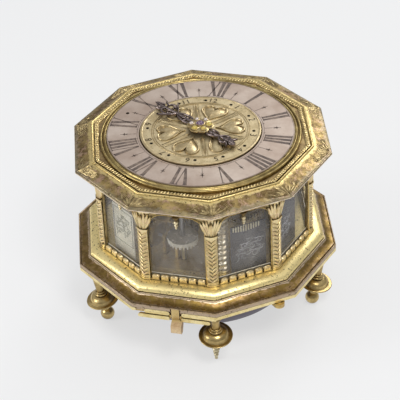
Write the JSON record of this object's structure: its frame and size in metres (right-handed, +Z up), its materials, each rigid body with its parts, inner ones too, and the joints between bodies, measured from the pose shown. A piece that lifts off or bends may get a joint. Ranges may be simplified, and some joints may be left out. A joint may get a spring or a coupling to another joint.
{
  "type": "table clock",
  "caption": "Horizontal table clock: ten-sided gilt case with arched windows, round dial on top, hour hand, alarm disc, and a foot frame it tips up from over a bell.",
  "frame": {"origin": "centre of the footprint on the table, at the level of the feet's lowest points", "axes": "+Z up; -Y is the face under VI, +Y the hinge side under XII; +X towards III"},
  "size_m": [0.18, 0.1798, 0.1401],
  "materials": {
    "gilt_brass": "worn mercury gilding over brass",
    "movement_brass": "brushed",
    "polished_steel": "polished",
    "blued_steel": "blued",
    "silvered_ring": "silvered, engraved and waxed",
    "engraved_brass": "gilt and engraved",
    "bell_metal": "dark patina",
    "window_glass": "clear",
    "hub_stone": "polished stones"
  },
  "bodies": {
    "foot_frame": {"foot_frame": "gilt_brass", "foot_stems": "gilt_brass", "foot_discs": "gilt_brass", "foot_balls": "gilt_brass", "foot_finial": "gilt_brass", "hinge_pin": "polished_steel", "catch_pin": "polished_steel"},
    "spring_catch": {"spring_catch": "gilt_brass"},
    "case": {"base_moulding": "gilt_brass", "window_panels": "gilt_brass", "window_glass": "window_glass", "corner_pilasters": "gilt_brass", "cresting_strips": "gilt_brass", "window_pendants": "gilt_brass", "cornice": "gilt_brass", "beaded_band": "gilt_brass", "dial_plate": "gilt_brass", "dial_bezel": "gilt_brass", "chapter_ring": "silvered_ring", "bottom_plate": "movement_brass", "top_plate": "movement_brass", "movement_pillars": "movement_brass", "pillar_pins": "polished_steel", "bell": "bell_metal", "bell_stud": "polished_steel", "bell_nut": "polished_steel", "balance_cock": "movement_brass", "potence": "movement_brass", "barrel_arbor": "polished_steel", "fusee_chain": "polished_steel", "count_stud": "polished_steel", "hammer_spring": "polished_steel"},
    "hour_arbor": {"hour_arbor": "polished_steel", "dial_wheel": "movement_brass"},
    "hour_hand": {"hour_hand": "blued_steel", "hub_rosette": "gilt_brass", "hub_jewels": "hub_stone"},
    "alarm_disc": {"alarm_disc": "engraved_brass"},
    "going_barrel": {"going_barrel": "movement_brass", "mainspring": "polished_steel"},
    "fusee": {"fusee": "movement_brass", "great_wheel": "movement_brass", "fusee_arbor": "polished_steel"},
    "second_wheel": {"second_wheel": "movement_brass", "second_arbor": "polished_steel"},
    "contrate_wheel": {"contrate_wheel": "movement_brass", "contrate_arbor": "polished_steel"},
    "crown_wheel": {"crown_wheel": "movement_brass", "crown_arbor": "polished_steel"},
    "balance": {"balance_wheel": "movement_brass", "verge": "polished_steel"},
    "strike_barrel": {"strike_barrel": "movement_brass", "strike_great_wheel": "movement_brass", "strike_arbor": "polished_steel"},
    "pin_wheel": {"pin_wheel": "movement_brass", "pin_wheel_arbor": "polished_steel"},
    "warning_wheel": {"warning_wheel": "movement_brass"},
    "fly": {"fly": "polished_steel"},
    "count_wheel": {"count_wheel": "movement_brass"},
    "hammer": {"hammer": "polished_steel"}
  },
  "joints": [
    {"name": "case_hinge", "type": "hinge", "parent": "foot_frame", "child": "case", "pos_m": [0, 0.0879, 0.0471], "axis": [-1, 0, 0], "range_deg": [0, 70]},
    {"name": "catch_press", "type": "hinge", "parent": "foot_frame", "child": "spring_catch", "pos_m": [0.0008, -0.0844, 0.0454], "axis": [1, 0, 0], "range_deg": [0, 8], "stiffness_Nm_per_rad": 0.05},
    {"name": "hour_hand_set", "type": "hinge", "parent": "hour_arbor", "child": "hour_hand", "pos_m": [0, 0, 0], "axis": [0, 0, 1], "continuous": true},
    {"name": "alarm_disc_turn", "type": "hinge", "parent": "case", "child": "alarm_disc", "pos_m": [0, 0, 0], "axis": [0, 0, 1], "continuous": true},
    {"name": "second_wheel_turn", "type": "hinge", "parent": "case", "child": "second_wheel", "pos_m": [-0.00566, -0.01512, 0], "axis": [0, 0, 1], "continuous": true},
    {"name": "fusee_turn", "type": "hinge", "parent": "case", "child": "fusee", "pos_m": [-0.02255, 0.00821, 0], "axis": [0, 0, 1], "continuous": true},
    {"name": "going_barrel_turn", "type": "hinge", "parent": "case", "child": "going_barrel", "pos_m": [0.03, 0.024, 0], "axis": [0, 0, 1], "continuous": true},
    {"name": "hour_arbor_turn", "type": "hinge", "parent": "case", "child": "hour_arbor", "pos_m": [0, 0, 0], "axis": [0, 0, 1], "continuous": true},
    {"name": "contrate_wheel_turn", "type": "hinge", "parent": "case", "child": "contrate_wheel", "pos_m": [-0.003, -0.045, 0], "axis": [0, 0, 1], "continuous": true},
    {"name": "crown_wheel_turn", "type": "hinge", "parent": "case", "child": "crown_wheel", "pos_m": [-0.003, -0.045, 0.07401], "axis": [-0.9397, 0.342, 0], "continuous": true},
    {"name": "balance_swing", "type": "hinge", "parent": "case", "child": "balance", "pos_m": [-0.02884, -0.03559, 0], "axis": [0, 0, 1], "range_deg": [-55, 55]},
    {"name": "pin_wheel_turn", "type": "hinge", "parent": "case", "child": "pin_wheel", "pos_m": [0.02162, 0.00282, 0], "axis": [0, 0, 1], "continuous": true},
    {"name": "strike_barrel_turn", "type": "hinge", "parent": "case", "child": "strike_barrel", "pos_m": [0.026, -0.022, 0], "axis": [0, 0, 1], "continuous": true},
    {"name": "warning_wheel_turn", "type": "hinge", "parent": "case", "child": "warning_wheel", "pos_m": [0.03632, 0.00282, 0], "axis": [0, 0, 1], "continuous": true},
    {"name": "fly_turn", "type": "hinge", "parent": "case", "child": "fly", "pos_m": [0.04873, 0.00063, 0], "axis": [0, 0, 1], "continuous": true},
    {"name": "count_wheel_turn", "type": "hinge", "parent": "case", "child": "count_wheel", "pos_m": [0.00627, -0.02918, 0], "axis": [0, 0, 1], "continuous": true},
    {"name": "hammer_swing", "type": "hinge", "parent": "case", "child": "hammer", "pos_m": [0.044, 0.014, 0], "axis": [0, 0, 1], "range_deg": [-2, 8], "stiffness_Nm_per_rad": 0.02}
  ],
  "couplings": [
    {"joint": "fusee_turn", "follows": "second_wheel_turn", "ratio": -0.2},
    {"joint": "going_barrel_turn", "follows": "second_wheel_turn", "ratio": -0.13988},
    {"joint": "hour_arbor_turn", "follows": "second_wheel_turn", "ratio": 0.05},
    {"joint": "contrate_wheel_turn", "follows": "second_wheel_turn", "ratio": -7},
    {"joint": "crown_wheel_turn", "follows": "second_wheel_turn", "ratio": 28},
    {"joint": "strike_barrel_turn", "follows": "pin_wheel_turn", "ratio": -0.16667},
    {"joint": "warning_wheel_turn", "follows": "pin_wheel_turn", "ratio": -6},
    {"joint": "fly_turn", "follows": "pin_wheel_turn", "ratio": 36},
    {"joint": "count_wheel_turn", "follows": "pin_wheel_turn", "ratio": 0.041667}
  ]
}
